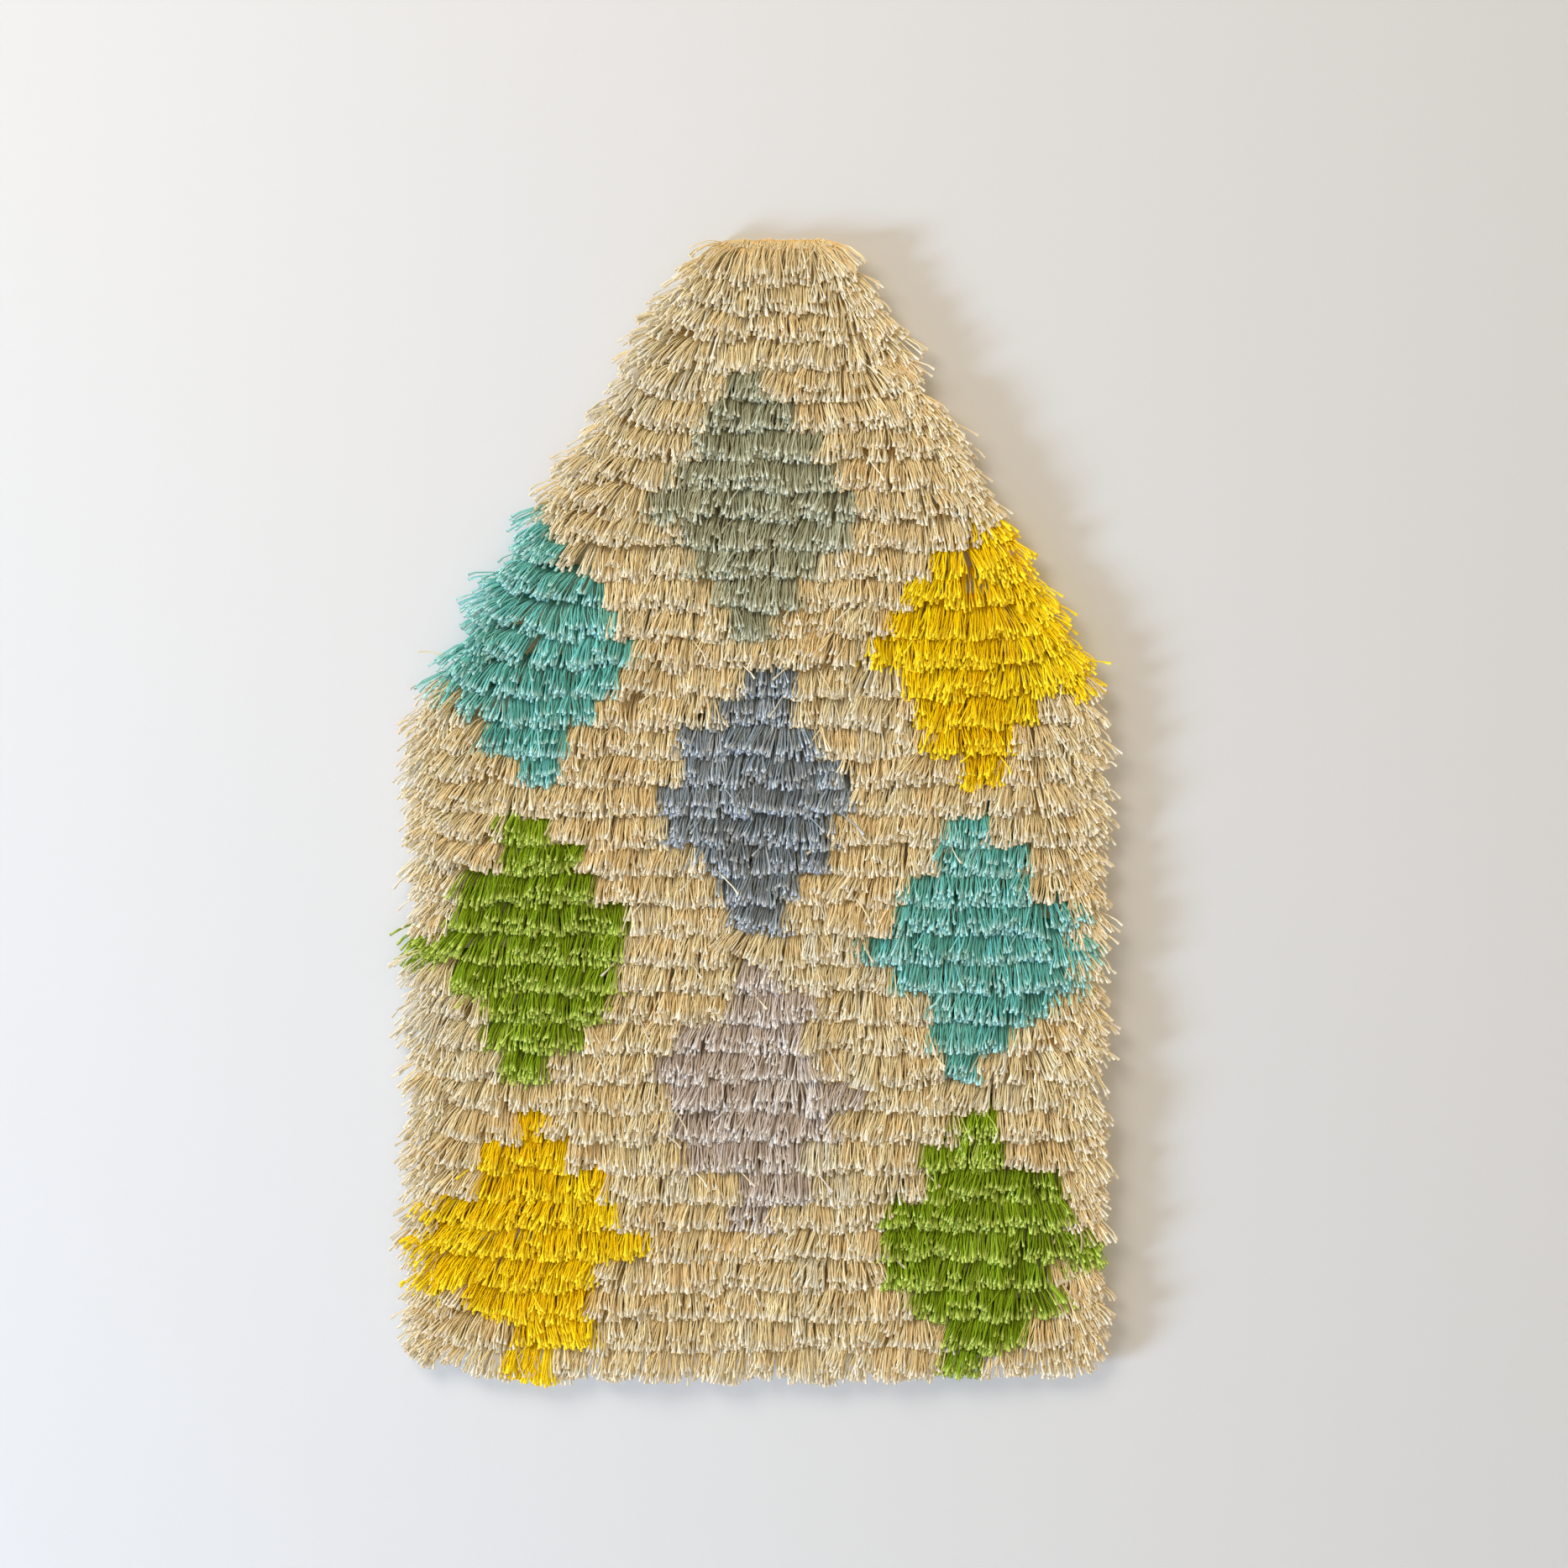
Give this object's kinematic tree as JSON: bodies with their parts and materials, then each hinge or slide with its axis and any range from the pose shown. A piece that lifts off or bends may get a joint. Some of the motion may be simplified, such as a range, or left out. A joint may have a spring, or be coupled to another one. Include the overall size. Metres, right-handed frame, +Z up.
{
  "type": "shaggy wall rug",
  "caption": "Flat shaggy rug that hangs on a wall: tapered top, straight sides, overlapping courses of cut yarn tufts on a thin ground cloth.",
  "frame": {"origin": "middle of the ground cloth's top edge, on the wall plane", "axes": "+Z up along the rug's length, +Y into the wall, +X to the right of someone who faces the pile"},
  "size_m": [0.6238, 0.0303, 1.0001],
  "materials": {
    "pile_yarn": "soft cut yarn pile, cream with plain coloured blocks",
    "ground_cloth": "coarse natural canvas weave"
  },
  "bodies": {
    "root": {"pile": "pile_yarn", "ground_cloth": "ground_cloth"}
  },
  "joints": []
}
